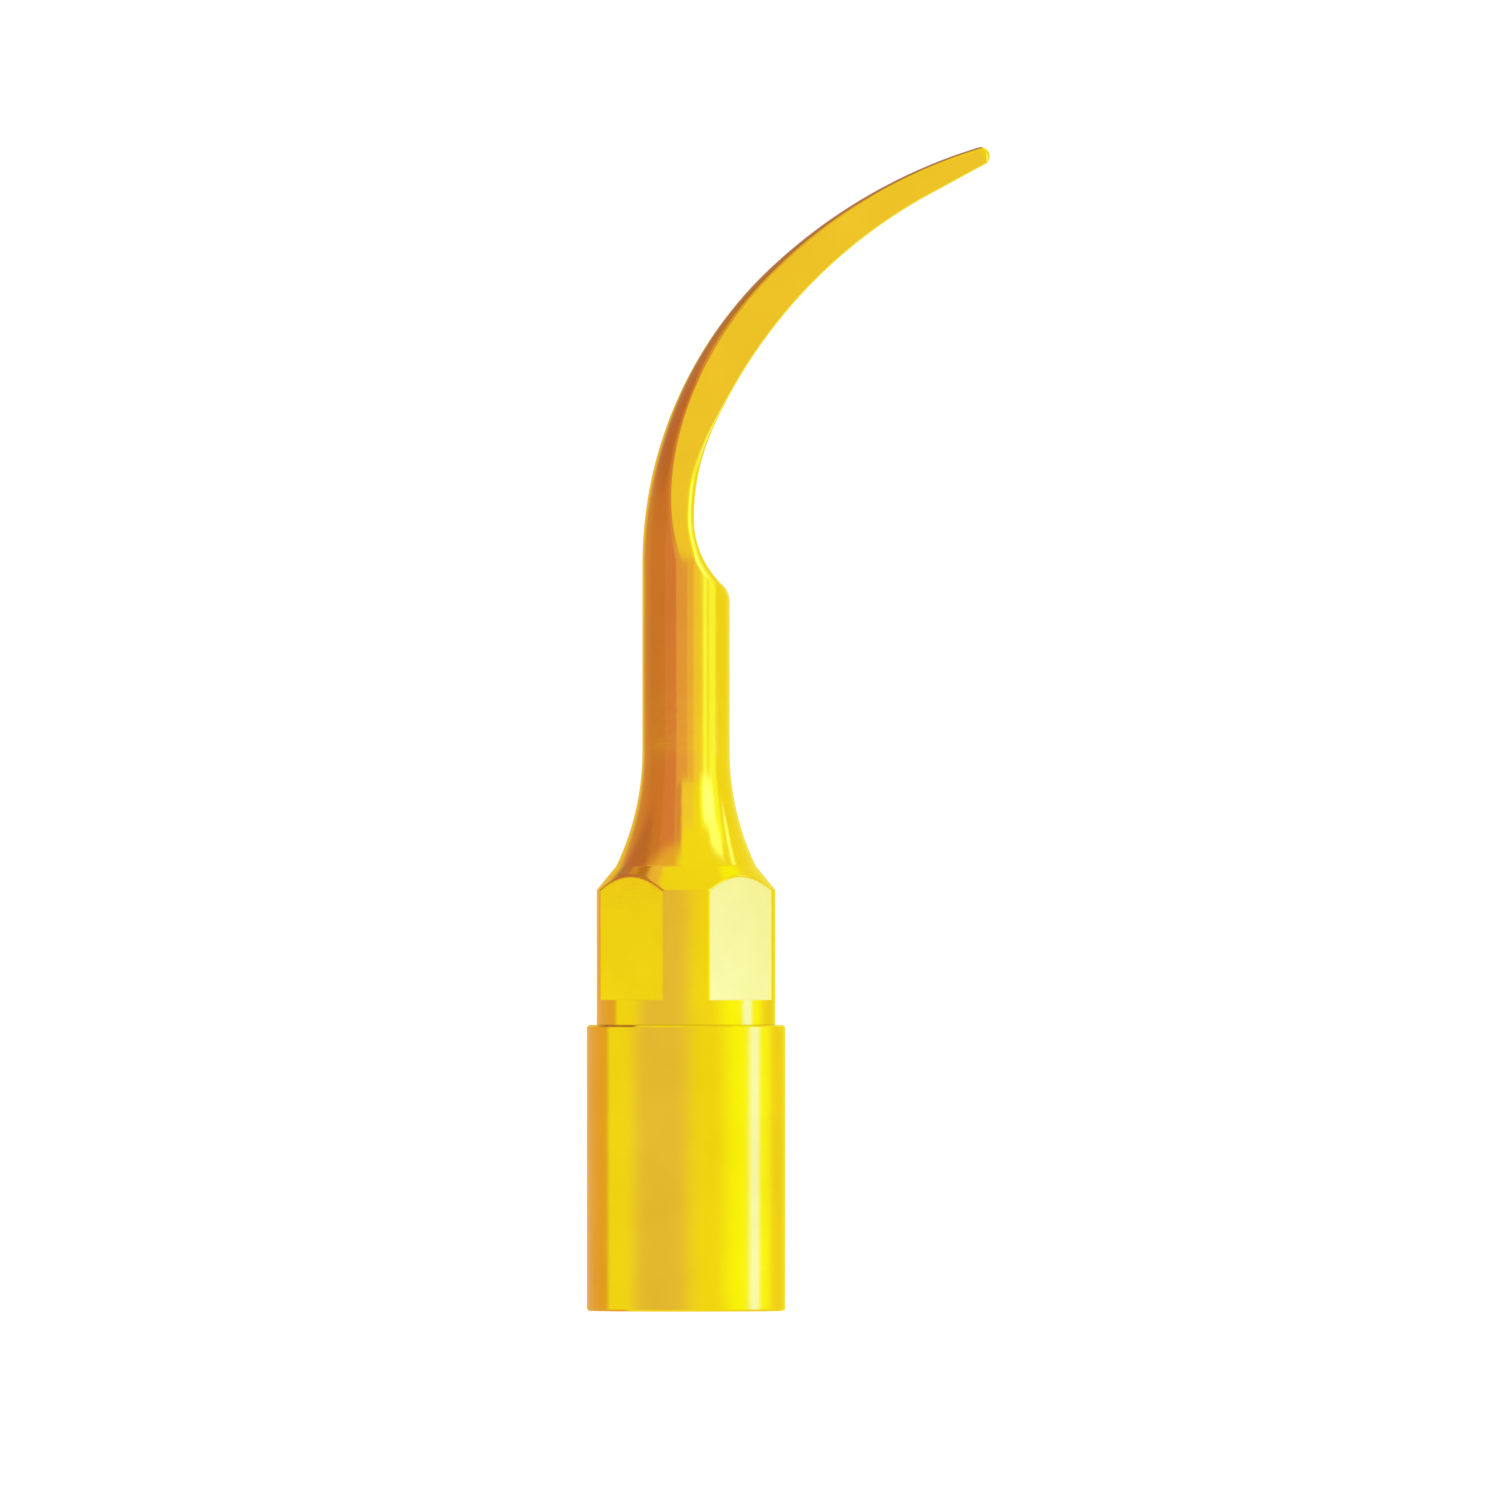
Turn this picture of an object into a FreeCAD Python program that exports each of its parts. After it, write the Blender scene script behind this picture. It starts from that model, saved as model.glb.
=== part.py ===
"""Ultrasonic dental tip: a bent steel blade on a wrench hub, pressed into a threaded base.

Frame: +Z runs up the base's axis, +X is the side the blade curves to, and the origin is the
centre of the flat base face that seats on the handpiece. Millimetres throughout.
"""

import FreeCAD
import Part
import Sketcher
import os

# alias: value in mm, or degrees for a turn
DIMENSIONS = {
    # base
    "barrel_diameter": 5.0,
    "barrel_length": 7.2,
    "edge_break": 0.05,
    "core_diameter": 4.0,
    "thread_depth": 4.5,
    "mouth_diameter": 3.1,
    # hub
    "spigot_diameter": 3.2,
    "spigot_length": 2.3,
    "hub_diameter": 4.5,
    "across_flats": 3.9,
    "collar_length": 0.63,
    "hub_length": 3.4,
    "hub_cone_length": 0.6,
    "hub_cone_top": 3.52,
    # shank
    "shank_diameter": 2.2,
    "flare_end": 14.1,
    "bend_start": 18.8,
    # bend of the bar's centre line
    "bend_radius": 9.13,
    "bend_turn": 46.6,
    "end_bend_radius": 12.2,
    "bar_turn": 76.0,
    # the inner edge of the blade, ground away on the concave side
    "throat_offset": 0.2,
    "throat_height": 19.95,
    "scoop_radius": 2.3,
    "scoop_turn": 45.0,
    "throat_radius": 5.6,
    "throat_turn": 24.5,
    "blade_radius": 12.6,
    "blade_turn": 61.5,
    "taper_length": 1.56,
    "cap_turn": 73.2,
    "cap_radius": 0.23,
    "cap_margin": 0.005,
    # the blade's side flats, each hollowed by a large grinding wheel
    "flat_start_height": 18.4,
    "flat_start_offset": 1.16,
    "flat_radius": 150.0,
    "flat_end_height": 30.0,
    "flat_end_offset": 0.305,
    # water way
    "tube_diameter": 0.6,
    "tube_bore": 0.36,
    "tube_offset": 0.55,
    "tube_top": 18.2,
    "duct_top": 19.7,
}

SPIGOT_FOOT = "(barrel_length - spigot_length)"  # leaves a small water chamber above the thread
PLANE_ROLES = {"XY": "XY_Plane", "XZ": "XZ_Plane", "YZ": "YZ_Plane"}
BEYOND = 1.5  # how far a cut's outline runs past the metal it removes
FULL_TURN = 360.0

doc = FreeCAD.newDocument("UltrasonicTip")


def make_sheet():
    """The spreadsheet of driving dimensions, one aliased number to a row."""
    sheet = doc.addObject("Spreadsheet::Sheet", "dims")
    for row, (alias, value) in enumerate(DIMENSIONS.items(), start=1):
        sheet.set(f"A{row}", alias)
        sheet.set(f"B{row}", str(value))
        sheet.setAlias(f"B{row}", alias)
    doc.recompute()
    return sheet


SHEET = make_sheet()


def formula(text):
    """An expression in which every alias is read from the sheet."""
    words = sorted(DIMENSIONS, key=len, reverse=True)
    for index, alias in enumerate(words):
        text = text.replace(alias, f"<{index}>")
    for index, alias in enumerate(words):
        text = text.replace(f"<{index}>", f"dims.{alias}")
    return text


def value_of(text):
    """The number that a formula gives."""
    return float(SHEET.evalExpression(formula(text)))


def bind(feature, **sizes):
    """Binds each named property of a feature to a formula."""
    for name, text in sizes.items():
        feature.setExpression(name, formula(text))


def plane_of(body, plane):
    """One of the body's own origin planes."""
    role = PLANE_ROLES[plane]
    return next(item for item in body.Origin.OriginFeatures if item.Role == role)


def new_body(name):
    body = doc.addObject("PartDesign::Body", name)
    body.Label = name
    return body


def new_sketch(body, name, plane, height=None, turn=0.0):
    """A sketch on an origin plane, moved along its normal by a formula and turned in the plane."""
    sketch = body.newObject("Sketcher::SketchObject", name)
    sketch.AttachmentSupport = [(plane_of(body, plane), "")]
    sketch.MapMode = "FlatFace"
    turned = FreeCAD.Rotation(FreeCAD.Vector(0, 0, 1), turn)
    sketch.AttachmentOffset = FreeCAD.Placement(FreeCAD.Vector(0, 0, 0), turned)
    if height is not None:
        sketch.setExpression("AttachmentOffset.Base.z", formula(height))
    doc.recompute()
    return sketch


def arc_through(start, end, radius, left):
    """The shorter arc of a radius from start to end, with its centre on the left or right of the chord."""
    chord = end - start
    rise = max(radius**2 - (chord.Length / 2) ** 2, 0.0) ** 0.5
    across = FreeCAD.Vector(-chord.y, chord.x, 0).normalize()
    centre = (start + end) / 2 + across * (rise if left else -rise)
    circle = Part.Circle(centre, FreeCAD.Vector(0, 0, 1), radius)
    first, last = circle.parameter(start), circle.parameter(end)
    if left:
        return Part.ArcOfCircle(circle, first, last)
    return Part.ArcOfCircle(circle, last, first)


def hold_point(sketch, index, end, x, y):
    """Fixes one point of a sketch by two formulas."""
    for kind, text in (("DistanceX", x), ("DistanceY", y)):
        number = sketch.addConstraint(
            Sketcher.Constraint(kind, -1, 1, index, end, value_of(text))
        )
        sketch.setExpression(f"Constraints[{number}]", formula(text))


def draw(sketch, corners, closed=True):
    """Draws an outline from corners (x, y) or (x, y, radius, side), where radius and side describe
    the arc that leads to the next corner. Every corner and radius is bound to its formula."""
    points = [FreeCAD.Vector(value_of(c[0]), value_of(c[1]), 0) for c in corners]
    count = len(corners) if closed else len(corners) - 1
    ends = []
    for index in range(count):
        start, end = points[index], points[(index + 1) % len(points)]
        if len(corners[index]) == 2:
            sketch.addGeometry(Part.LineSegment(start, end))
            ends.append((1, 2))
            continue
        radius, left = corners[index][2], corners[index][3] == "left"
        sketch.addGeometry(arc_through(start, end, value_of(radius), left))
        ends.append((1, 2) if left else (2, 1))
        number = sketch.addConstraint(
            Sketcher.Constraint("Radius", index, value_of(radius))
        )
        sketch.setExpression(f"Constraints[{number}]", formula(radius))
    for index in range(count):
        hold_point(sketch, index, ends[index][0], *corners[index][:2])
        after = index + 1
        if after < count or closed:
            after %= count
            sketch.addConstraint(
                Sketcher.Constraint("Coincident", index, ends[index][1], after, ends[after][0])
            )
    if not closed:
        hold_point(sketch, count - 1, ends[-1][1], *corners[-1][:2])
    doc.recompute()
    return sketch


def draw_circle(sketch, x, diameter):
    """A circle on the sketch's X axis."""
    centre = FreeCAD.Vector(value_of(x), 0, 0)
    index = sketch.addGeometry(
        Part.Circle(centre, FreeCAD.Vector(0, 0, 1), value_of(diameter) / 2)
    )
    hold_point(sketch, index, 3, x, "0")
    number = sketch.addConstraint(Sketcher.Constraint("Diameter", index, value_of(diameter)))
    sketch.setExpression(f"Constraints[{number}]", formula(diameter))
    doc.recompute()
    return sketch


def revolve(body, name, corners):
    """A solid of revolution about Z, from an outline of (radius, height) corners."""
    sketch = draw(new_sketch(body, f"{name}_outline", "XZ"), corners)
    turned = body.newObject("PartDesign::Revolution", name)
    turned.Profile = sketch
    turned.ReferenceAxis = (sketch, ["V_Axis"])
    turned.Angle = FULL_TURN
    doc.recompute()
    return turned


def cut(body, name, sketch, length=None, upwards=False):
    """A pocket, right through both ways unless it has a length, which must remove metal."""
    before = body.Shape.Volume
    pocket = body.newObject("PartDesign::Pocket", name)
    pocket.Profile = sketch
    if length is None:
        pocket.Type = "ThroughAll"
        pocket.Midplane = True
    else:
        bind(pocket, Length=length)
        pocket.Reversed = upwards
    doc.recompute()
    if body.Shape.Volume > before - 1e-6:
        raise RuntimeError(f"{name} removes nothing")
    return pocket


def pattern(body, kind, name, original, **settings):
    """Repeats a feature and makes the result the body's tip."""
    repeated = body.newObject(f"PartDesign::{kind}", name)
    repeated.Originals = [original]
    for key, setting in settings.items():
        setattr(repeated, key, setting)
    body.Tip = repeated
    doc.recompute()
    return repeated


def break_edges(body, name, base, edges, size):
    """A chamfer of one size on the named edges."""
    chamfer = body.newObject("PartDesign::Chamfer", name)
    chamfer.Base = (base, edges)
    bind(chamfer, Size=size)
    doc.recompute()
    return chamfer


def circles_at(shape, radius, heights):
    """The names of a shape's full circles of one radius at any of the heights."""
    names = []
    for index, edge in enumerate(shape.Edges, start=1):
        curve = edge.Curve
        if not isinstance(curve, Part.Circle) or abs(curve.Radius - radius) > 1e-6:
            continue
        if any(abs(curve.Center.z - height) < 1e-6 for height in heights):
            names.append(f"Edge{index}")
    return names


def base_barrel():
    """The plain outer sleeve of the base."""
    body = new_body("base_barrel")
    sleeve = revolve(
        body,
        "sleeve",
        [
            ("core_diameter / 2", "0"),
            ("barrel_diameter / 2", "0"),
            ("barrel_diameter / 2", "barrel_length"),
            ("core_diameter / 2", "barrel_length"),
        ],
    )
    rims = circles_at(body.Shape, value_of("barrel_diameter / 2"), (0, value_of("barrel_length")))
    break_edges(body, "rim_break", sleeve, rims, "edge_break")
    return body


def threaded_core():
    """The core inside the sleeve: tapped M3 x 0.5 from below, bored from above for the spigot."""
    body = new_body("threaded_core")
    blank = draw_circle(new_sketch(body, "blank_outline", "XY"), "0", "core_diameter")
    pad = body.newObject("PartDesign::Pad", "blank")
    pad.Profile = blank
    bind(pad, Length="barrel_length")
    doc.recompute()
    centre = draw_circle(new_sketch(body, "tapped_hole_centre", "XY"), "0", "tube_diameter")
    hole = body.newObject("PartDesign::Hole", "tapped_hole")
    hole.Profile = centre
    doc.recompute()
    hole.ThreadType = "ISOMetricProfile"
    hole.ThreadSize = "M3x0.5"
    hole.Threaded = True
    hole.DepthType = "Dimension"
    hole.DrillPoint = "Flat"
    hole.HoleCutType = "Countersink"
    hole.Reversed = True
    bind(hole, Depth="thread_depth", HoleCutDiameter="mouth_diameter")
    doc.recompute()
    socket = draw_circle(
        new_sketch(body, "socket_outline", "XY", height="thread_depth"), "0", "spigot_diameter"
    )
    cut(body, "socket", socket, "barrel_length", upwards=True)
    return body


def water_tube():
    """The fine steel tube that lines the water way from the spigot's foot to the heel."""
    body = new_body("water_tube")
    sketch = new_sketch(body, "tube_outline", "XY", height=SPIGOT_FOOT)
    draw_circle(sketch, "tube_offset", "tube_diameter")
    draw_circle(sketch, "tube_offset", "tube_bore")
    pad = body.newObject("PartDesign::Pad", "tube")
    pad.Profile = sketch
    bind(pad, Length=f"tube_top - {SPIGOT_FOOT}")
    doc.recompute()
    return body


def turned_blank(body):
    """Spigot, wrench hub, flare and straight shank, turned on one axis."""
    hub_top = "(barrel_length + hub_length)"
    cone_top = "(barrel_length + hub_length + hub_cone_length)"
    flare_rise = f"(flare_end - {cone_top})"
    flare_step = "((hub_cone_top - shank_diameter) / 2)"
    flare_radius = f"({flare_rise}^2 + {flare_step}^2) / (2 * {flare_step})"
    return revolve(
        body,
        "turned_blank",
        [
            ("0", SPIGOT_FOOT),
            ("spigot_diameter / 2", SPIGOT_FOOT),
            ("spigot_diameter / 2", "barrel_length"),
            ("hub_diameter / 2", "barrel_length"),
            ("hub_diameter / 2", hub_top),
            ("hub_cone_top / 2", cone_top, flare_radius, "right"),
            ("shank_diameter / 2", "flare_end"),
            ("shank_diameter / 2", "bend_start"),
            ("0", "bend_start"),
        ],
    )


def wrench_flats(body):
    """Four flats milled on the hub. Each runs out through the cone in an arch."""
    sketch = new_sketch(
        body, "flat_outline", "XY", height="barrel_length + collar_length", turn=45.0
    )
    near, far = "across_flats / 2", f"hub_diameter / 2 + {BEYOND}"
    draw(sketch, [(near, f"-({far})"), (far, f"-({far})"), (far, far), (near, far)])
    flat = cut(body, "wrench_flat", sketch, "hub_length + hub_cone_length", upwards=True)
    turns = pattern(
        body, "PolarPattern", "wrench_flats", flat, Axis=(sketch, ["N_Axis"]), Angle=FULL_TURN,
        Occurrences=4,
    )
    return turns


def bend_point(turn, offset="0"):
    """A point of the bent bar at a turn past the joint of its two arcs, as (x, z) formulas."""
    reach = f"(end_bend_radius + {offset})"
    shift = "(bend_radius - end_bend_radius)"
    x = f"bend_radius - {shift} * cos(bend_turn) - {reach} * cos({turn})"
    z = f"bend_start + {shift} * sin(bend_turn) + {reach} * sin({turn})"
    return x, z


def bent_bar(body):
    """The round bar swept on round two arcs, before it is ground."""
    spine = new_sketch(body, "bar_centre_line", "XZ")
    joint_x = "bend_radius * (1 - cos(bend_turn))"
    joint_z = "bend_start + bend_radius * sin(bend_turn)"
    draw(
        spine,
        [
            ("0", "bend_start", "bend_radius", "right"),
            (joint_x, joint_z, "end_bend_radius", "right"),
            bend_point("bar_turn"),
        ],
        closed=False,
    )
    section = new_sketch(body, "bar_section", "XY", height="bend_start")
    draw_circle(section, "0", "shank_diameter")
    pipe = body.newObject("PartDesign::AdditivePipe", "bent_bar")
    pipe.Profile = section
    pipe.Spine = (spine, [])
    doc.recompute()
    return pipe


def concave_side(body):
    """Grinds the bar back to the blade's inner edge: heel, scoop, throat, blade and round end. The
    edge runs straight over the last of the blade, which tapers it to the end."""
    scoop_centre = "(throat_offset + scoop_radius)"
    heel_x = f"{scoop_centre} - scoop_radius * cos(scoop_turn)"
    heel_z = "throat_height - scoop_radius * sin(scoop_turn)"
    clear_x = f"(shank_diameter / 2 + {BEYOND})"
    clear_z = f"{heel_z} - ({clear_x} - ({heel_x})) * tan(scoop_turn)"
    joint_x = "(throat_offset + throat_radius * (1 - cos(throat_turn)))"
    joint_z = "(throat_height + throat_radius * sin(throat_turn))"
    taper_x = f"({joint_x} + blade_radius * (cos(throat_turn) - cos(blade_turn)))"
    taper_z = f"({joint_z} + blade_radius * (sin(blade_turn) - sin(throat_turn)))"
    end_x = f"{taper_x} + taper_length * sin(blade_turn)"
    end_z = f"{taper_z} + taper_length * cos(blade_turn)"
    cap = bend_point("cap_turn", "shank_diameter / 2 - cap_margin")
    past_cap = bend_point("cap_turn", f"shank_diameter / 2 + {BEYOND}")
    far_x = f"{past_cap[0]} + 2 * {BEYOND}"
    sketch = draw(
        new_sketch(body, "inner_edge", "XZ"),
        [
            (clear_x, clear_z),
            (heel_x, heel_z, "scoop_radius", "right"),
            ("throat_offset", "throat_height", "throat_radius", "right"),
            (joint_x, joint_z, "blade_radius", "right"),
            (taper_x, taper_z),
            (end_x, end_z, "cap_radius", "left"),
            cap,
            past_cap,
            (far_x, past_cap[1]),
            (far_x, clear_z),
        ],
    )
    return cut(body, "concave_side", sketch)


def side_flats(body):
    """Thins the blade evenly from both sides, from the shank's full width to a narrow end."""
    outside = f"shank_diameter / 2 + {BEYOND}"
    sketch = draw(
        new_sketch(body, "side_outline", "YZ"),
        [
            ("flat_start_offset", "flat_start_height"),
            (outside, "flat_start_height"),
            (outside, "flat_end_height"),
            ("flat_end_offset", "flat_end_height", "flat_radius", "left"),
        ],
    )
    flat = cut(body, "side_flat", sketch)
    return pattern(
        body, "Mirrored", "side_flats", flat, MirrorPlane=(plane_of(body, "XZ"), [""])
    )


def water_duct(body):
    """The drilled way for the tube, which opens in the scoop above the heel."""
    sketch = new_sketch(body, "duct_outline", "XY", height=SPIGOT_FOOT)
    draw_circle(sketch, "tube_offset", "tube_diameter")
    return cut(body, "water_duct", sketch, f"duct_top - {SPIGOT_FOOT}", upwards=True)


def working_tip():
    """The one bar that carries the vibration: spigot, wrench hub, shank and ground blade."""
    body = new_body("working_tip")
    turned_blank(body)
    wrench_flats(body)
    bent_bar(body)
    concave_side(body)
    side_flats(body)
    water_duct(body)
    return body


def check_and_write(bodies):
    """Stops on any failed feature or unsound shape, and otherwise writes one STEP to a sub-part."""
    doc.recompute()
    failed = [item.Label for item in doc.Objects if {"Invalid", "Error"} & set(item.State)]
    if failed:
        raise RuntimeError(f"features failed: {failed}")
    os.makedirs("parts", exist_ok=True)
    for body in bodies:
        shape = body.Shape
        if shape.isNull() or not shape.isValid() or len(shape.Solids) != 1:
            raise RuntimeError(f"{body.Label} isn't one sound solid")
        box = shape.BoundBox
        size = f"{box.XLength:.2f} x {box.YLength:.2f} x {box.ZLength:.2f} mm"
        print(f"{body.Label}: {size}, {shape.Volume:.2f} mm3, top at {box.ZMax:.2f}")
        shape.exportStep(f"parts/{body.Label}.step")


check_and_write([base_barrel(), threaded_core(), water_tube(), working_tip()])
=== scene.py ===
"""The looks of an ultrasonic dental tip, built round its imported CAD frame.

Shapes are worked out in millimetres in the frame's own axes and turned into metres when their
meshes are made. Every visible piece replaces its CAD node with a denser mesh of the same shape.
"""

import math
import bmesh
import bpy
import numpy as np
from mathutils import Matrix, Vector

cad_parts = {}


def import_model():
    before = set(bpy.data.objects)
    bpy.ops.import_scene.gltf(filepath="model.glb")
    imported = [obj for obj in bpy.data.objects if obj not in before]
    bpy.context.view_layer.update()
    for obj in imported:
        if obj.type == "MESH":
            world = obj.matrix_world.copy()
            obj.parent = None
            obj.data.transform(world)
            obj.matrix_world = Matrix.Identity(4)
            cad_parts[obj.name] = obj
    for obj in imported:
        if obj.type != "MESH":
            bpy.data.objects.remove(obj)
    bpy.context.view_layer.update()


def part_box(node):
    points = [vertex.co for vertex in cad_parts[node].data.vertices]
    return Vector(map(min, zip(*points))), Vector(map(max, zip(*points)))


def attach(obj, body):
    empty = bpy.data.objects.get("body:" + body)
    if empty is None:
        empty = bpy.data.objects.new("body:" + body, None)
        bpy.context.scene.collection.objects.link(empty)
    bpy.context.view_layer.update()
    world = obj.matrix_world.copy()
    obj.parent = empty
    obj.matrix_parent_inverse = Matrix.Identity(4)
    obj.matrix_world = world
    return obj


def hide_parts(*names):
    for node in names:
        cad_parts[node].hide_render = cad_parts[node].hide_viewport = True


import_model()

MM = 0.001
BODY = "root"
SAME_PLACE = 2e-7  # metres between points that are one


def corners(node):
    """The lowest and highest corner of a CAD node, in millimetres."""
    return [np.array(corner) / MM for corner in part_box(node)]


BARREL_LOW, BARREL_HIGH = corners("base_barrel")
CORE_LOW, CORE_HIGH = corners("threaded_core")
TUBE_LOW, TUBE_HIGH = corners("water_tube")
TIP_LOW, TIP_HIGH = corners("working_tip")

# base
BARREL_RADIUS = (BARREL_HIGH[0] - BARREL_LOW[0]) / 2
BARREL_TOP = BARREL_HIGH[2]
CORE_RADIUS = (CORE_HIGH[0] - CORE_LOW[0]) / 2
EDGE_BREAK = 0.05
PRESS_GAP = 0.004  # keeps pressed faces from lying in one another
HOLD = 1.2  # how far from a rounded corner its outer points are, over the size of the rounding

# M3 x 0.5 thread
THREAD_PITCH = 0.5
THREAD_MINOR = 1.23
THREAD_MAJOR = 1.5
THREAD_DEPTH = 4.5
THREAD_FLANK = math.radians(60.0)  # from the axis
HALF_CREST = THREAD_PITCH / 8
MOUTH_RADIUS = 1.55

# hub and shank
SPIGOT_RADIUS = 1.6
SPIGOT_FOOT = TIP_LOW[2]
HUB_RADIUS = 2.25
HALF_ACROSS_FLATS = 1.95
COLLAR_LENGTH = 0.63
HUB_LENGTH = 3.4
CONE_LENGTH = 0.6
FLAT_START = BARREL_TOP + COLLAR_LENGTH
HUB_END = BARREL_TOP + HUB_LENGTH
CONE_END = HUB_END + CONE_LENGTH
CONE_END_RADIUS = 1.76
FLARE_END = 14.1
SHANK_RADIUS = 1.1
FLARE_RISE = FLARE_END - CONE_END
FLARE_STEP = CONE_END_RADIUS - SHANK_RADIUS
FLARE_RADIUS = (FLARE_RISE**2 + FLARE_STEP**2) / (2 * FLARE_STEP)

# the bar's centre line: straight, then two tangent arcs
BEND_START = 18.8
BEND_RADIUS = 9.13
BEND_TURN = math.radians(46.6)
END_BEND_RADIUS = 12.2
END_TURN = math.radians(73.0)
BEND_CENTRE = np.array([BEND_RADIUS, BEND_START])
END_BEND_CENTRE = BEND_CENTRE + (END_BEND_RADIUS - BEND_RADIUS) * np.array(
    [math.cos(BEND_TURN), -math.sin(BEND_TURN)]
)
BEND_LENGTH = BEND_RADIUS * BEND_TURN
LINE_END = BEND_START + BEND_LENGTH + END_BEND_RADIUS * (END_TURN - BEND_TURN)

# the ground inner edge: a 45 degree heel, a scoop, the throat, the blade and its straight taper
THROAT_X = 0.2
THROAT_Z = 19.95
SCOOP_RADIUS = 2.3
THROAT_RADIUS = 5.6
THROAT_TURN = math.radians(24.5)
BLADE_RADIUS = 12.6
BLADE_TURN = math.radians(61.5)
HEEL_TURN = math.radians(45.0)
SCOOP_CENTRE = np.array([THROAT_X + SCOOP_RADIUS, THROAT_Z])
THROAT_CENTRE = np.array([THROAT_X + THROAT_RADIUS, THROAT_Z])
BLADE_CENTRE = THROAT_CENTRE + (BLADE_RADIUS - THROAT_RADIUS) * np.array(
    [math.cos(THROAT_TURN), -math.sin(THROAT_TURN)]
)

# the round end, which touches the bar's back and the taper
NOSE_RADIUS = 0.23
NOSE_REACH = END_BEND_RADIUS + SHANK_RADIUS - NOSE_RADIUS
NOSE_CENTRE = END_BEND_CENTRE + NOSE_REACH * np.array([-math.cos(END_TURN), math.sin(END_TURN)])
NOSE_TURN = (END_TURN + BLADE_TURN) / 2
NOSE_ALONG = np.array([math.sin(NOSE_TURN), math.cos(NOSE_TURN)])
NOSE_TAPER = math.sin((END_TURN - BLADE_TURN) / 2)

# the blade's side flats, hollowed by a large wheel
SIDE_START = (1.16, 18.4)
SIDE_END = (0.305, 30.0)
SIDE_RADIUS = 150.0

# rounding where two faces meet
HUB_EDGE = 0.025
BACK_EDGE = 0.04
HEEL_EDGE = 0.17
THROAT_EDGE = 0.26
BLADE_EDGE = 0.05
TIP_EDGE = 0.28
SHARP = 0.001
FAR_INSIDE = -5.0

# the heights between which the inner edge's rounding changes
HEEL_TO_THROAT = (18.3, 19.0)
THROAT_TO_BLADE = (20.8, 23.2)

# the tip's mesh: rays find each section, and its points sit closer together where it turns
RAYS = 900
RAY_LENGTH = 4.0
HALVINGS = 30  # of a ray, to find where it leaves the tip
COLUMNS = 216
TURN_SHARE = 0.6
TO_BACK = 0.85  # from the centre line towards the back, where the bar is solid all the way
JUST_ABOVE = 0.001
END_RINGS = 18
# its sections, as the first and last place along the centre line and the spacing
SECTIONS = [
    (FLAT_START + 0.1, HUB_END - 0.1, 0.23),
    (HUB_END - 0.05, CONE_END + 0.05, 0.025),
    (CONE_END + 0.08, FLARE_END - 0.03, 0.09),
    (FLARE_END, 17.7, 0.28),
    # the heel, the scoop and the blade
    (17.8, 19.27, 0.03),
    (19.3, 20.56, 0.06),
    (20.6, LINE_END, 0.0945),
]

# water way
TUBE_RADIUS = (TUBE_HIGH[0] - TUBE_LOW[0]) / 2
TUBE_X = (TUBE_HIGH[0] + TUBE_LOW[0]) / 2
TUBE_BORE = 0.18
TUBE_EDGE = 0.03
DUCT_TOP = 19.7
DRILL_LEAD = 1.0  # how far below the spigot the drill starts

# how finely the turned pieces are divided, round and along
BARREL_COLUMNS = 256
BARREL_SPACING = 0.6
TUBE_COLUMNS = 64
TUBE_SPACING = 1.5
CORE_COLUMNS = 144
THREAD_SPACING = 0.025
THREAD_LEDGE = 0.01  # how far below the socket's floor the first ring of the thread is
CREASE = math.radians(35.0)  # a sharper turn than this is not shaded smooth


def turns(count):
    """Even turns round a full circle, in radians."""
    return np.linspace(0, 2 * math.pi, count, endpoint=False)


def spaced(first, last, spacing):
    """Places from first to last, about a spacing apart."""
    return np.linspace(first, last, round((last - first) / spacing) + 1)


# ---------------------------------------------------------------- the working tip's shape


def side_circle():
    """Centre of the wheel arc that hollows a side flat, as (offset, height)."""
    start, end = np.array(SIDE_START), np.array(SIDE_END)
    chord = end - start
    length = np.linalg.norm(chord)
    outward = np.array([chord[1], -chord[0]]) / length
    return (start + end) / 2 + outward * math.sqrt(SIDE_RADIUS**2 - (length / 2) ** 2)


SIDE_CENTRE = side_circle()


def smoothstep(low, high, value):
    """0 below low, 1 above high, and an even rise between. High may be the lower of the two."""
    share = np.clip((value - low) / (high - low), 0, 1)
    return share * share * (3 - 2 * share)


def both(a, b, edge):
    """Meets two faces' distances, negative inside, with a rounded edge between them."""
    near = np.maximum(edge - np.abs(a - b), 0.0) / edge
    return np.maximum(a, b) + near * near * edge / 4


def turned_radius(z):
    """The radius of the turned bar at a height above the barrel."""
    drop = np.clip(FLARE_END - z, 0.0, FLARE_RISE)
    flare = SHANK_RADIUS + FLARE_RADIUS - np.sqrt(FLARE_RADIUS**2 - drop**2)
    share = np.clip((CONE_END - z) / (CONE_END - HUB_END), 0.0, 1.0)
    return flare + share * (HUB_RADIUS - CONE_END_RADIUS)


def off_bar(x, y, z):
    """Distance outside the round bar, straight or bent."""
    turn = np.arctan2(z - BEND_START, BEND_RADIUS - x)
    bent = np.hypot(x - BEND_CENTRE[0], z - BEND_CENTRE[1]) - BEND_RADIUS
    end = np.hypot(x - END_BEND_CENTRE[0], z - END_BEND_CENTRE[1]) - END_BEND_RADIUS
    across = np.where(z < BEND_START, -x, np.where(turn < BEND_TURN, bent, end))
    radius = np.where(z < BEND_START, turned_radius(z), SHANK_RADIUS)
    return np.hypot(across, y) - radius


def off_wrench_flats(x, y, z):
    """Distance outside the four wrench flats."""
    out = FAR_INSIDE
    for turn in (45, 135, 225, 315):
        a = math.radians(turn)
        out = np.maximum(out, x * math.cos(a) + y * math.sin(a) - HALF_ACROSS_FLATS)
    return np.where((z > FLAT_START) & (z < FLARE_END), out, FAR_INSIDE)


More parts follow.
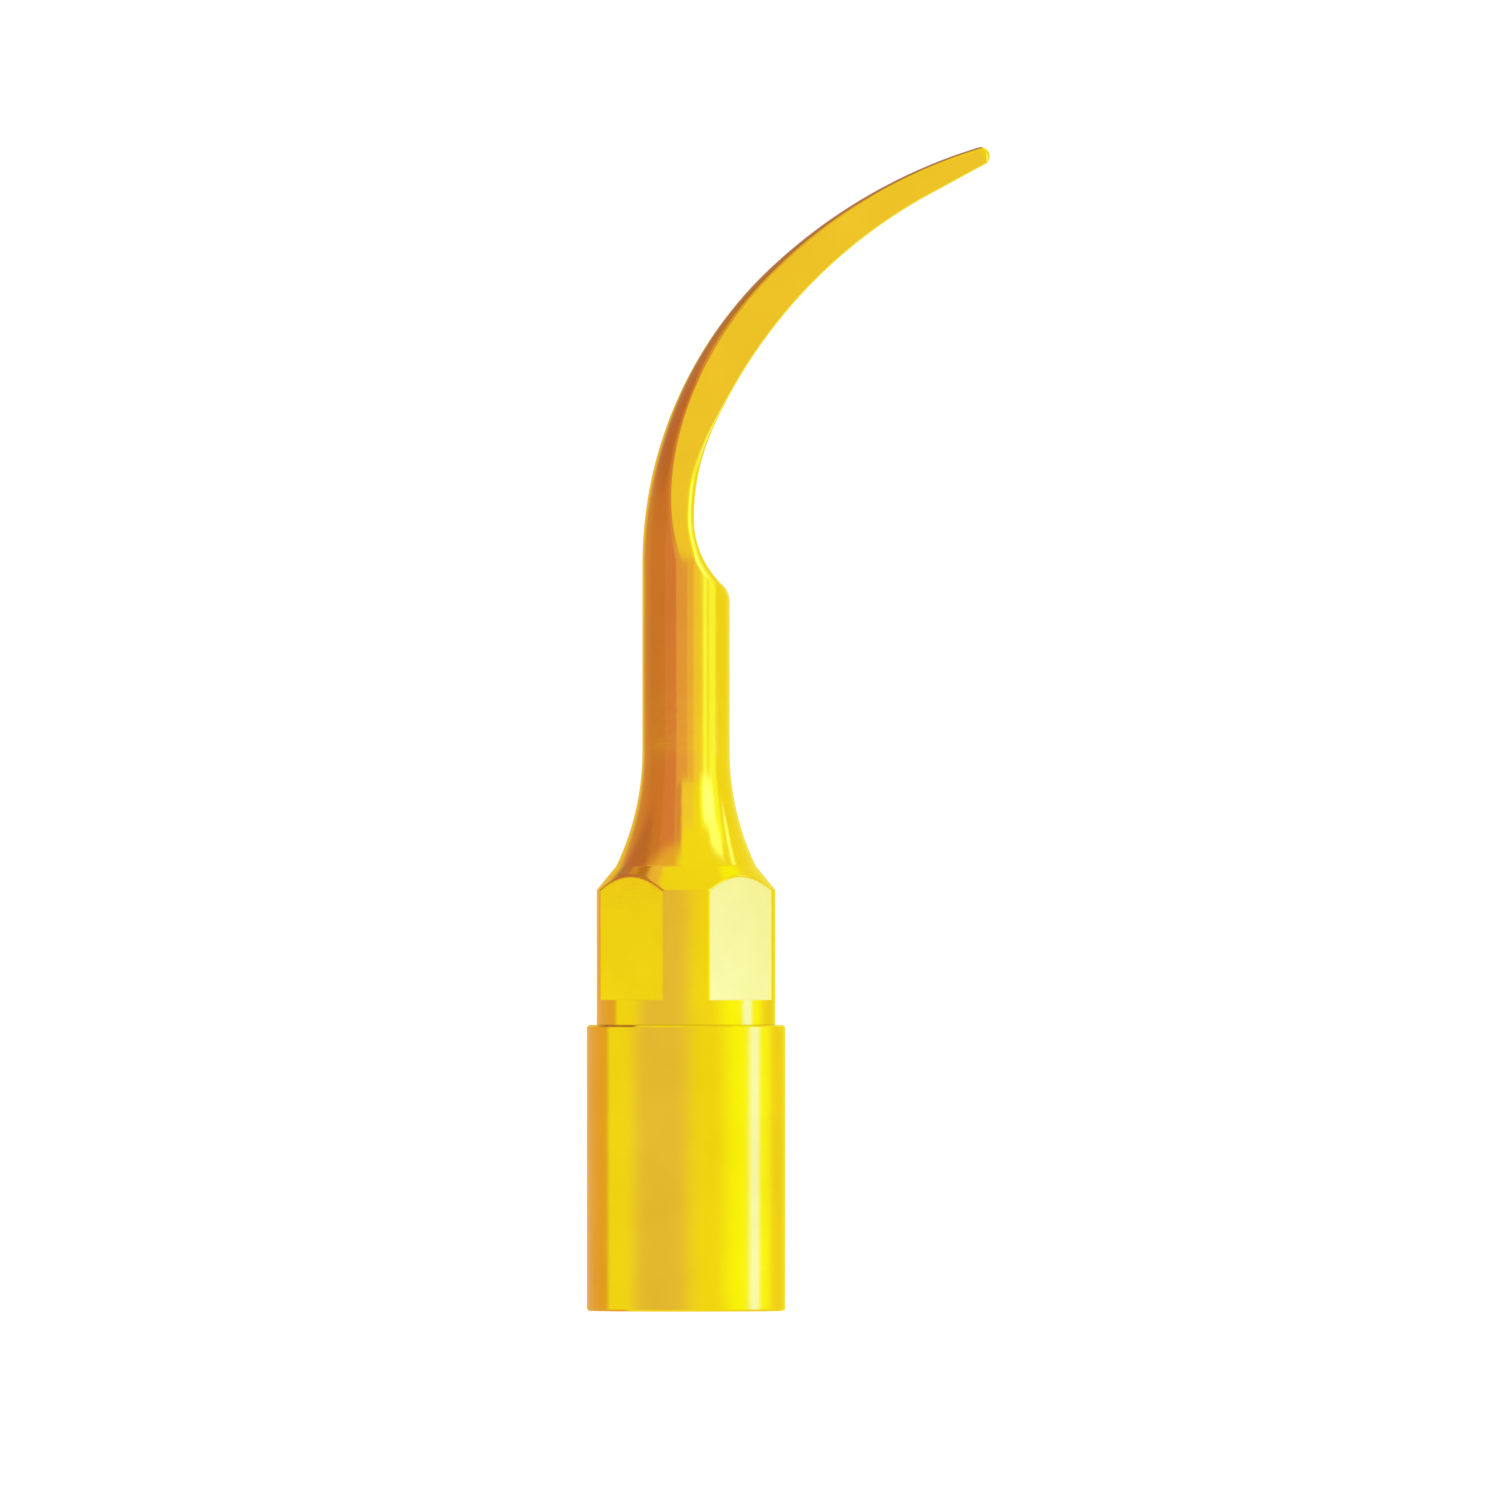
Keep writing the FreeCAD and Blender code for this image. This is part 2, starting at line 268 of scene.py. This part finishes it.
def off_inner_edge(x, z):
    """Distance past the blade's ground inner edge."""
    low = math.cos(HEEL_TURN), math.sin(HEEL_TURN)
    scoop = SCOOP_RADIUS - np.hypot(x - SCOOP_CENTRE[0], z - SCOOP_CENTRE[1])
    heel = (x - SCOOP_CENTRE[0]) * low[0] + (z - SCOOP_CENTRE[1]) * low[1] + SCOOP_RADIUS
    below = np.arctan2(SCOOP_CENTRE[1] - z, SCOOP_CENTRE[0] - x)
    throat = THROAT_RADIUS - np.hypot(x - THROAT_CENTRE[0], z - THROAT_CENTRE[1])
    above = np.arctan2(z - THROAT_CENTRE[1], THROAT_CENTRE[0] - x)
    blade = BLADE_RADIUS - np.hypot(x - BLADE_CENTRE[0], z - BLADE_CENTRE[1])
    along = np.arctan2(z - BLADE_CENTRE[1], BLADE_CENTRE[0] - x)
    far = math.cos(BLADE_TURN), math.sin(BLADE_TURN)
    taper = BLADE_RADIUS + (x - BLADE_CENTRE[0]) * far[0] - (z - BLADE_CENTRE[1]) * far[1]
    lower = np.where(below < HEEL_TURN, scoop, heel)
    upper = np.where(above < THROAT_TURN, throat, np.where(along < BLADE_TURN, blade, taper))
    return np.where(z < THROAT_Z, lower, upper)


def off_side_flats(y, z):
    """Distance outside the two side flats."""
    drop = np.clip(z - SIDE_CENTRE[1], -SIDE_RADIUS, SIDE_RADIUS)
    half = SIDE_CENTRE[0] - np.sqrt(SIDE_RADIUS**2 - drop**2)
    return np.where(z > SIDE_START[1], np.abs(y) - half, FAR_INSIDE)


def off_nose(x, y, z):
    """Distance outside the blade's round end, whose edge is rounded more the further it is ahead."""
    right, up = x - NOSE_CENTRE[0], z - NOSE_CENTRE[1]
    far = np.hypot(right, up)
    ahead = right * NOSE_ALONG[0] + up * NOSE_ALONG[1] - far * NOSE_TAPER
    past = np.where(ahead > 0, far - NOSE_RADIUS, FAR_INSIDE)
    return both(past, off_side_flats(y, z), np.clip(ahead, SHARP, TIP_EDGE))


def inner_rounding(z):
    """The rounding of the inner edge, which is largest at the throat and slight on the blade."""
    lower = HEEL_EDGE + (THROAT_EDGE - HEEL_EDGE) * smoothstep(*HEEL_TO_THROAT, z)
    return lower + (BLADE_EDGE - THROAT_EDGE) * smoothstep(*THROAT_TO_BLADE, z)


def off_tip(points):
    """Distance outside the working tip above the barrel, negative inside. The points are (..., 3)."""
    x, y, z = points[..., 0], points[..., 1], points[..., 2]
    hub = both(off_bar(x, y, z), off_wrench_flats(x, y, z), HUB_EDGE)
    bladed = both(hub, off_side_flats(y, z), BACK_EDGE)
    ground = both(bladed, off_inner_edge(x, z), inner_rounding(z))
    return np.maximum(ground, off_nose(x, y, z))


def station(run):
    """Centre, outward direction (to the back) and forward direction of the bar at a run along it."""
    if run <= BEND_START:
        turn, centre = 0.0, np.array([0.0, 0.0, run])
    elif run <= BEND_START + BEND_LENGTH:
        turn = (run - BEND_START) / BEND_RADIUS
        pivot, radius = BEND_CENTRE, BEND_RADIUS
    else:
        turn = BEND_TURN + (run - BEND_START - BEND_LENGTH) / END_BEND_RADIUS
        pivot, radius = END_BEND_CENTRE, END_BEND_RADIUS
    out = np.array([-math.cos(turn), 0.0, math.sin(turn)])
    if run > BEND_START:
        centre = np.array([pivot[0], 0.0, pivot[1]]) + out * radius
    return centre, out, np.array([math.sin(turn), 0.0, math.cos(turn)])


def reach(origin, ways):
    """Where rays from a point inside the tip leave it."""
    low, high = np.zeros(len(ways)), np.full(len(ways), RAY_LENGTH)
    for _ in range(HALVINGS):
        middle = (low + high) / 2
        inside = off_tip(origin + ways * middle[:, None]) < 0
        low, high = np.where(inside, middle, low), np.where(inside, high, middle)
    return origin + ways * low[:, None]


def spread_columns(ring):
    """Points round a closed section, from its first one, closer together where it turns."""
    side = np.roll(ring, -1, axis=0) - ring
    length = np.linalg.norm(side, axis=1)
    way = side / length[:, None]
    turn = np.arccos(np.clip(np.sum(way * np.roll(way, 1, axis=0), axis=1), -1, 1))
    turn = (turn + np.roll(turn, -1)) / 2
    weight = (1 - TURN_SHARE) * length / length.sum() + TURN_SHARE * turn / turn.sum()
    along = np.concatenate([[0], np.cumsum(weight)])
    at = np.arange(COLUMNS) / COLUMNS * along[-1]
    closed = np.concatenate([ring, ring[:1]])
    return np.stack([np.interp(at, along, closed[:, k]) for k in range(3)], axis=1)


def tip_rows():
    """The rings of points that make the working tip, from its foot to the end of its blade."""
    turn = turns(RAYS)[:, None]
    across = np.array([0.0, -1.0, 0.0])

    def section(run):
        """The tip's outline square to its centre line, with its middle and directions."""
        centre, out, along = station(run)
        back, inner = reach(centre + out * TO_BACK, np.array([out, -out]))
        middle = (back + inner) / 2
        ways = np.cos(turn) * out + np.sin(turn) * across
        return spread_columns(reach(middle, ways)), middle, ways, along

    flats = section(FLAT_START + JUST_ABOVE)[0]
    flats[:, 2] = FLAT_START
    round_way = flats[:, :2] / np.linalg.norm(flats[:, :2], axis=1)[:, None]

    def ring(radius, z):
        return np.column_stack([round_way * radius, np.full(COLUMNS, z)])

    foot, spigot = SPIGOT_FOOT, SPIGOT_RADIUS - PRESS_GAP
    rows = [
        ring(spigot / 2, foot),
        ring(spigot - EDGE_BREAK, foot),
        ring(spigot, foot + EDGE_BREAK),
        ring(spigot, BARREL_TOP),
        ring(HUB_RADIUS - PRESS_GAP, BARREL_TOP + PRESS_GAP),
        ring(HUB_RADIUS, BARREL_TOP + 2 * PRESS_GAP),
        ring(HUB_RADIUS, FLAT_START),
        flats,
    ]
    for run in np.concatenate([spaced(*stretch) for stretch in SECTIONS]):
        outline, middle, ways, along = section(run)
        rows.append(outline)
    for lift in np.linspace(0, math.pi / 2, END_RINGS + 2)[1:-1]:
        cone = math.cos(lift) * ways + math.sin(lift) * along
        rows.append(spread_columns(reach(middle, cone)))
    pole = reach(middle, np.array([along]))[0]
    return rows, np.array([0.0, 0.0, foot]), pole


# ---------------------------------------------------------------- meshes


def make_piece(name, points, faces):
    """A mesh object from points in millimetres."""
    mesh = bpy.data.meshes.new(name)
    mesh.from_pydata([tuple(p) for p in np.asarray(points) * MM], [], faces)
    mesh.validate()
    mesh.update()
    piece = bpy.data.objects.new(name, mesh)
    bpy.context.scene.collection.objects.link(piece)
    return piece


def circle(radius, z, count, x=0.0):
    """A ring of points round a vertical line. Its radius may be one for each point."""
    turn = turns(count)
    return np.stack([x + np.cos(turn) * radius, np.sin(turn) * radius, np.full(count, z)], axis=1)


def between_rings(count, width, closed=False):
    """The faces that join rings of equal width in order, and the last to the first if closed."""
    faces = []
    for r in range(count if closed else count - 1):
        a, b = r * width, (r + 1) % count * width
        for c in range(width):
            d = (c + 1) % width
            faces.append((a + c, a + d, b + d, b + c))
    return faces


def ended_loft(name, rows, first, last):
    """A closed skin over rings of equal width, ended by a point at each end."""
    width, count = len(rows[0]), len(rows)
    points = np.concatenate([*rows, [first, last]])
    faces = between_rings(count, width)
    low, high = count * width, count * width + 1
    top = (count - 1) * width
    for c in range(width):
        d = (c + 1) % width
        faces.append((d, c, low))
        faces.append((top + c, top + d, high))
    return make_piece(name, points, faces)


def closed_loft(name, rows):
    """A closed skin over rings of equal width, the last of them joined to the first."""
    faces = between_rings(len(rows), len(rows[0]), closed=True)
    return make_piece(name, np.concatenate(rows), faces)


def lathe(name, outline, columns, x=0.0):
    """A hollow piece turned about a vertical axis from a closed outline of (radius, height)."""
    return closed_loft(name, [circle(radius, z, columns, x) for radius, z in outline])


def rounded(corner, before, after, size, steps=4):
    """The points of a rounded corner of an outline. One more point close to each of its ends keeps
    the shading of the sides that it joins flat."""
    corner, before, after = map(np.array, (corner, before, after))
    back = (before - corner) / np.linalg.norm(before - corner) * size
    ahead = (after - corner) / np.linalg.norm(after - corner) * size
    points = [corner + back * HOLD]
    for share in np.linspace(0, 1, steps + 1):
        points.append(corner + (1 - share) ** 2 * back + share**2 * ahead)
    points.append(corner + ahead * HOLD)
    return points


def round_outline(outline, size, steps=4):
    """A closed outline with every corner rounded."""
    points = []
    for index, corner in enumerate(outline):
        after = outline[(index + 1) % len(outline)]
        points += rounded(corner, outline[index - 1], after, size, steps)
    return points


def split_long(outline, longest):
    """A closed outline with extra points along its long sides."""
    points = []
    for index, start in enumerate(outline):
        end = outline[(index + 1) % len(outline)]
        start, end = np.array(start), np.array(end)
        steps = max(1, int(np.linalg.norm(end - start) / longest))
        points += [start + (end - start) * k / steps for k in range(steps)]
    return points


def smooth(piece):
    """Smooth shading, except across edges that turn sharply."""
    mesh = piece.data
    mesh.polygons.foreach_set("use_smooth", [True] * len(mesh.polygons))
    mesh.set_sharp_from_angle(angle=CREASE)
    mesh.update()


def outward(piece):
    """Joins points that lie in one place and turns every face outward."""
    work = bmesh.new()
    work.from_mesh(piece.data)
    bmesh.ops.remove_doubles(work, verts=work.verts, dist=SAME_PLACE)
    bmesh.ops.dissolve_degenerate(work, edges=work.edges, dist=SAME_PLACE)
    bmesh.ops.recalc_face_normals(work, faces=work.faces)
    work.to_mesh(piece.data)
    work.free()
    return piece


def finish_piece(piece, node, material):
    """Gives a piece its finish, and stands it in for its CAD node."""
    smooth(piece)
    piece.data.materials.clear()
    piece.data.materials.append(material)
    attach(piece, BODY)
    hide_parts(node)


def working_tip():
    """The whole tip in one skin, with the water duct drilled out of it."""
    rows, foot, pole = tip_rows()
    tip = outward(ended_loft("tip_bar", rows, foot, pole))
    ends = [SPIGOT_FOOT - DRILL_LEAD, DUCT_TOP]
    rims = [circle(TUBE_RADIUS, z, TUBE_COLUMNS, TUBE_X) for z in ends]
    middles = [np.array([TUBE_X, 0, z]) for z in ends]
    drill = outward(ended_loft("drill", rims, *middles))
    cut = tip.modifiers.new("duct", "BOOLEAN")
    cut.operation = "DIFFERENCE"
    cut.solver = "EXACT"
    cut.object = drill
    bpy.context.view_layer.update()
    drilled = bpy.data.meshes.new_from_object(
        tip.evaluated_get(bpy.context.evaluated_depsgraph_get())
    )
    tip.modifiers.clear()
    tip.data = drilled
    bpy.data.objects.remove(drill)
    return outward(tip)


def base_barrel():
    """The sleeve, with its edges broken."""
    outline = [
        (CORE_RADIUS, 0.0),
        (BARREL_RADIUS, 0.0),
        (BARREL_RADIUS, BARREL_TOP),
        (CORE_RADIUS, BARREL_TOP),
    ]
    outline = split_long(round_outline(outline, EDGE_BREAK, steps=1), BARREL_SPACING)
    return outward(lathe("barrel_sleeve", outline, BARREL_COLUMNS))


def thread_depth_at(z, turn):
    """How far the thread is cut beyond its minor radius: a 60 degree groove with a flat root."""
    phase = np.mod(z / THREAD_PITCH - turn / (2 * math.pi), 1.0)
    slope = np.minimum(phase, 1 - phase) * THREAD_PITCH
    full = THREAD_MAJOR - THREAD_MINOR
    return np.clip((slope - HALF_CREST) * math.tan(THREAD_FLANK), 0, full)


def threaded_core():
    """The core, with a helical M3 thread cut up from its countersunk mouth."""
    turn = turns(CORE_COLUMNS)
    outer = CORE_RADIUS - PRESS_GAP
    outline = [
        (outer - EDGE_BREAK, 0.0),
        (outer, EDGE_BREAK),
        (outer, BARREL_TOP - EDGE_BREAK),
        (outer - EDGE_BREAK, BARREL_TOP),
        (SPIGOT_RADIUS + EDGE_BREAK, BARREL_TOP),
        (SPIGOT_RADIUS, BARREL_TOP - EDGE_BREAK),
        (SPIGOT_RADIUS, THREAD_DEPTH),
    ]
    for z in np.arange(THREAD_DEPTH - THREAD_LEDGE, 0.0, -THREAD_SPACING):
        runout = np.clip((THREAD_DEPTH - z) / THREAD_PITCH, 0, 1)
        threaded = THREAD_MINOR + thread_depth_at(z, turn) * runout
        outline.append((np.maximum(threaded, MOUTH_RADIUS - z), z))
    outline.append((MOUTH_RADIUS + EDGE_BREAK / 2, 0.0))
    return outward(lathe("core_bush", outline, CORE_COLUMNS))


def water_tube():
    """The fine tube, with its ends rounded."""
    outline = [
        (TUBE_BORE, TUBE_LOW[2]),
        (TUBE_RADIUS - PRESS_GAP, TUBE_LOW[2]),
        (TUBE_RADIUS - PRESS_GAP, TUBE_HIGH[2]),
        (TUBE_BORE, TUBE_HIGH[2]),
    ]
    outline = split_long(round_outline(outline, TUBE_EDGE), TUBE_SPACING)
    return outward(lathe("capillary_tube", outline, TUBE_COLUMNS, TUBE_X))


# ---------------------------------------------------------------- materials

# how often noise repeats in a metre: the slight clouding of the colour, and polishing's waves
CLOUDS = 420.0
WAVES = 1400.0
# tool marks, in lines per metre along each axis
TURNED = (1500.0, 1500.0, 16000.0)
DRAWN = (16000.0, 16000.0, 800.0)
# the darkest and lightest shade of each metal, and the noise levels at which they begin
GOLD = ((0.86, 0.60, 0.028), (0.90, 0.64, 0.032))
STEEL = ((0.50, 0.49, 0.47), (0.60, 0.59, 0.57))
SHADE_LEVELS = (0.35, 0.65)
# how far the tool marks take the roughness below and above its own value
ROUGHNESS_SHARES = (0.8, 1.2)


def node_tools(material):
    """Short ways to add and join a material's nodes."""
    material.use_nodes = True
    tree = material.node_tree
    shader = tree.nodes["Principled BSDF"]

    def add(kind, **settings):
        node = tree.nodes.new(kind)
        for key, setting in settings.items():
            if key in node.inputs:
                node.inputs[key].default_value = setting
            else:
                setattr(node, key, setting)
        return node

    return shader, add, tree.links.new


def metal(name, shades, roughness, marks, depth, ripple=0.0):
    """A hard metal surface. Depth is that of its tool marks, and ripple is the height of the slight
    waves that polishing leaves, both in metres."""
    material = bpy.data.materials.new(name)
    shader, add, join = node_tools(material)
    place = add("ShaderNodeTexCoord")
    cloudy = add("ShaderNodeTexNoise", Scale=CLOUDS, Detail=3.0)
    join(place.outputs["Object"], cloudy.inputs["Vector"])
    tone = add("ShaderNodeValToRGB")
    for stop, level, shade in zip(tone.color_ramp.elements, SHADE_LEVELS, shades):
        stop.position = level
        stop.color = (*shade, 1)
    join(cloudy.outputs["Fac"], tone.inputs["Fac"])
    join(tone.outputs["Color"], shader.inputs["Base Color"])
    stretch = add("ShaderNodeMapping")
    stretch.inputs["Scale"].default_value = marks
    join(place.outputs["Object"], stretch.inputs["Vector"])
    lines = add("ShaderNodeTexNoise", Scale=1.0, Detail=4.0, Roughness=0.6)
    join(stretch.outputs["Vector"], lines.inputs["Vector"])
    bump = add("ShaderNodeBump", Strength=1.0, Distance=depth)
    join(lines.outputs["Fac"], bump.inputs["Height"])
    waves = add("ShaderNodeTexNoise", Scale=WAVES, Detail=2.0)
    join(place.outputs["Object"], waves.inputs["Vector"])
    wavy = add("ShaderNodeBump", Strength=1.0, Distance=ripple)
    join(waves.outputs["Fac"], wavy.inputs["Height"])
    join(bump.outputs["Normal"], wavy.inputs["Normal"])
    join(wavy.outputs["Normal"], shader.inputs["Normal"])
    spread = add("ShaderNodeMapRange")
    spread.inputs["To Min"].default_value = roughness * ROUGHNESS_SHARES[0]
    spread.inputs["To Max"].default_value = roughness * ROUGHNESS_SHARES[1]
    join(lines.outputs["Fac"], spread.inputs["Value"])
    join(spread.outputs["Result"], shader.inputs["Roughness"])
    shader.inputs["Metallic"].default_value = 1.0
    return material


# ---------------------------------------------------------------- light, floor and camera

# the camera: how wide it sees, and the place in the object's plane of bending that it looks at
VIEW_WIDTH = 37.76
VIEW_CENTRE = (1.61, 14.12)
# Much longer, and the other views would stand so far off that their far clip hides the object.
LENS = 1500.0
SENSOR = 36.0
CLIP_START = 0.01  # metres
CLIP_END = 10.0

# the lamp, in metres and watts
SOFTBOX_PLACE = (-0.08, -0.12, 0.32)
SOFTBOX_SIZE = 0.25
SOFTBOX_POWER = 0.35

SKY_WHITE = 1.05
FLOOR_HALF = 3000.0
FLOOR_GREY = 0.88
FLOOR_ROUGHNESS = 0.9
FLOOR_GLOW = 0.2

TENT_RADIUS = 45.0
TENT_FOOT = -60.0
TENT_TOP = 120.0
TENT_SPACING = 0.75
TENT_COLUMNS = 720
WALL = (0.99, 1.05, 0.18)
# What the metal reflects: cards and lamps on the tent's warm wall, each over those before it, as
# the edges (first azimuth, last azimuth, lowest, highest) and the colour. An edge is its place and
# half the width it fades over. Azimuths are in degrees round from the camera's side towards +X,
# and heights are in millimetres over the floor. Many cards share two edges: one under the whole
# tent, and one just over the hub.
UNDER = (-200.0, 1.0)
HUB = (12.3, 1.8)
CARDS = [
    # level with the base
    ((-182, 18), (-101, 4), UNDER, HUB, (0.85, 0.54, 0.30)),
    ((-60, 16), (2, 16), UNDER, HUB, (0.88, 0.78, 0.95)),
    ((46, 16), (112, 12), UNDER, HUB, (1.07, 1.42, 0.05)),
    ((124, 12), (182, 18), UNDER, HUB, (0.96, 0.93, 0.05)),
    ((78, 4), (92, 4), UNDER, HUB, (1.06, 1.52, 13.0)),
    # level with the shank and above
    ((-106, 8), (-12, 8), (70, 5), (118, 8), (0.93, 0.68, 0.9)),
    ((-192, 12), (-131, 10), HUB, (60, 8), (0.87, 0.66, 0.12)),
    ((-141, 10), (-100, 12), HUB, (60, 9), (0.70, 0.34, 0.35)),
    ((-112, 12), (-50, 8), HUB, (64, 8), (0.66, 0.27, 0.6)),
    # the brown that runs up the blade's back
    ((-190, 8), (-130, 12), (32, 5), (95, 8), (0.48, 0.25, 0.25)),
    ((-134, 8), (-80, 6), (29, 4), (48, 4), (0.56, 0.215, 0.55)),
    ((-134, 8), (-84, 8), (58, 5), (82, 6), (0.55, 0.25, 0.30)),
    # the shank's copper front, and its lighter right side
    ((-56, 5), (-24, 2), HUB, (56, 12), (0.74, 0.29, 1.0)),
    ((-24, 2), (5, 3), HUB, (23.5, 1.5), (0.87, 0.47, 1.2)),
    ((5, 3), (21, 4), HUB, (23.5, 1.5), (0.93, 0.62, 1.1)),
    ((21, 4), (40, 4), HUB, (23.5, 1.5), (0.99, 0.87, 0.8)),
    ((-24, 2), (-10, 2), (23.5, 1.5), (54, 10), (0.76, 0.36, 1.0)),
    ((-10, 2), (18, 4), (23.5, 1.5), (40, 3), (0.97, 0.88, 0.7)),
    # the copper fades over the foot of the flare
    ((-86, 6), (-20, 5), (50, 6), (68, 8), (0.88, 0.58, 0.6)),
    # the lamps that streak the shank, the flare and the cone
    ((46, 3), (57, 2), HUB, (25, 4), (1.08, 1.5, 1.3)),
    ((62, 2), (84, 3), HUB, (25, 4), (1.08, 1.45, 0.9)),
    ((34, 3), (86, 3), (21, 3), (38, 4), (1.07, 1.45, 0.4)),
    ((42, 3), (70, 3), (22, 3), (36, 4), (1.2, 1.8, 6.0)),
    ((54, 4), (78, 3), (35, 3), (45, 3), (1.2, 1.8, 4.0)),
    ((94, 2), (101, 2), (26, 3), (42, 3), (1.2, 1.8, 4.0)),
    ((88, 12), (135, 20), (52, 8), (90, 10), (1.05, 1.35, 0.06)),
]


def tent_colour(azimuth, z):
    """The light that the tent's wall gives at a place on it."""
    colour = np.broadcast_to(np.array(WALL), (len(z), 3))
    for first, last, low, high, card in CARDS:
        middle, half = (first[0] + last[0]) / 2, (last[0] - first[0]) / 2
        off = np.mod(azimuth - middle + 180, 360) - 180
        share = smoothstep(-half - first[1], -half + first[1], off)
        share = share * smoothstep(half + last[1], half - last[1], off)
        share = share * smoothstep(low[0] - low[1], low[0] + low[1], z)
        share = share * smoothstep(high[0] + high[1], high[0] - high[1], z)
        colour = colour + (np.array(card) - colour) * share[:, None]
    return colour


def light_tent():
    """A wall of light round the object that only its reflections see."""
    azimuths = np.linspace(-180, 180, TENT_COLUMNS, endpoint=False)
    heights = spaced(TENT_FOOT, TENT_TOP, TENT_SPACING)
    grid_z, grid_azimuth = np.meshgrid(heights, azimuths, indexing="ij")
    z, azimuth = grid_z.ravel(), grid_azimuth.ravel()
    x, y = TENT_RADIUS * np.sin(np.radians(azimuth)), -TENT_RADIUS * np.cos(np.radians(azimuth))
    faces = between_rings(len(heights), TENT_COLUMNS)
    tent = make_piece("light_tent", np.column_stack([x, y, z]), faces)
    glow = tent.data.color_attributes.new("glow", "FLOAT_COLOR", "POINT")
    colour = np.column_stack([tent_colour(azimuth, z), np.ones(len(z))])
    glow.data.foreach_set("color", colour.astype(np.float32).ravel())
    material = bpy.data.materials.new("tent_glow")
    material.use_nodes = True
    tree = material.node_tree
    tree.nodes.clear()
    source = tree.nodes.new("ShaderNodeAttribute")
    source.attribute_name = "glow"
    emit = tree.nodes.new("ShaderNodeEmission")
    output = tree.nodes.new("ShaderNodeOutputMaterial")
    tree.links.new(source.outputs["Color"], emit.inputs["Color"])
    tree.links.new(emit.outputs["Emission"], output.inputs["Surface"])
    material.cycles.emission_sampling = "NONE"
    tent.data.materials.append(material)
    tent.visible_camera = False
    tent.visible_diffuse = False
    tent.visible_shadow = False


def floor():
    """A plain pale floor under the base, which the metal's reflections leave out."""
    half = FLOOR_HALF
    points = [(-half, -half, 0), (half, -half, 0), (half, half, 0), (-half, half, 0)]
    ground = make_piece("floor", points, [(0, 1, 2, 3)])
    material = bpy.data.materials.new("pale_floor")
    shader = node_tools(material)[0]
    shader.inputs["Base Color"].default_value = (FLOOR_GREY, FLOOR_GREY, FLOOR_GREY, 1)
    shader.inputs["Roughness"].default_value = FLOOR_ROUGHNESS
    shader.inputs["Specular IOR Level"].default_value = 0.0
    shader.inputs["Emission Color"].default_value = (1, 1, 1, 1)
    shader.inputs["Emission Strength"].default_value = FLOOR_GLOW
    ground.data.materials.append(material)
    ground.visible_glossy = False


def world():
    """Even white light from all round, which metal sees in the colour of the tent's wall."""
    sky = bpy.data.worlds.new("studio")
    bpy.context.scene.world = sky
    sky.use_nodes = True
    tree = sky.node_tree
    background = tree.nodes["Background"]
    path = tree.nodes.new("ShaderNodeLightPath")
    colour = tree.nodes.new("ShaderNodeMix")
    colour.data_type = "RGBA"
    colour.inputs["A"].default_value = (SKY_WHITE, SKY_WHITE, SKY_WHITE, 1)
    colour.inputs["B"].default_value = (*WALL, 1)
    tree.links.new(path.outputs["Is Glossy Ray"], colour.inputs["Factor"])
    tree.links.new(colour.outputs["Result"], background.inputs["Color"])
    background.inputs["Strength"].default_value = 1.0


def softbox():
    """One broad lamp overhead."""
    lamp = bpy.data.lights.new("softbox", "AREA")
    lamp.shape = "DISK"
    lamp.size = SOFTBOX_SIZE
    lamp.energy = SOFTBOX_POWER
    holder = bpy.data.objects.new("softbox", lamp)
    holder.location = SOFTBOX_PLACE
    aim = -holder.location.normalized()
    holder.rotation_euler = aim.to_track_quat("-Z", "Y").to_euler()
    bpy.context.scene.collection.objects.link(holder)
    holder.visible_camera = False
    holder.visible_glossy = False


def camera():
    """A long lens, level with the middle of the object and square to its bend."""
    data = bpy.data.cameras.new("camera")
    data.lens = LENS
    data.sensor_width = SENSOR
    distance = VIEW_WIDTH * LENS / SENSOR
    eye = bpy.data.objects.new("camera", data)
    eye.location = (VIEW_CENTRE[0] * MM, -distance * MM, VIEW_CENTRE[1] * MM)
    eye.rotation_euler = (math.pi / 2, 0, 0)
    data.clip_start = CLIP_START
    data.clip_end = CLIP_END
    bpy.context.scene.collection.objects.link(eye)
    bpy.context.scene.camera = eye


# ---------------------------------------------------------------- everything together

camera()
world()
softbox()
floor()
light_tent()
bpy.context.scene.view_settings.view_transform = "Standard"

gold_bar = metal("gold_tip", GOLD, roughness=0.13, marks=TURNED, depth=0.4e-6, ripple=4e-6)
gold_sleeve = metal("gold_barrel", GOLD, roughness=0.14, marks=TURNED, depth=0.5e-6, ripple=2e-6)
core_steel = metal("core_steel", STEEL, roughness=0.25, marks=TURNED, depth=0.6e-6)
tube_steel = metal("tube_steel", STEEL, roughness=0.2, marks=DRAWN, depth=0.4e-6)

finish_piece(working_tip(), "working_tip", gold_bar)
finish_piece(base_barrel(), "base_barrel", gold_sleeve)
finish_piece(threaded_core(), "threaded_core", core_steel)
finish_piece(water_tube(), "water_tube", tube_steel)
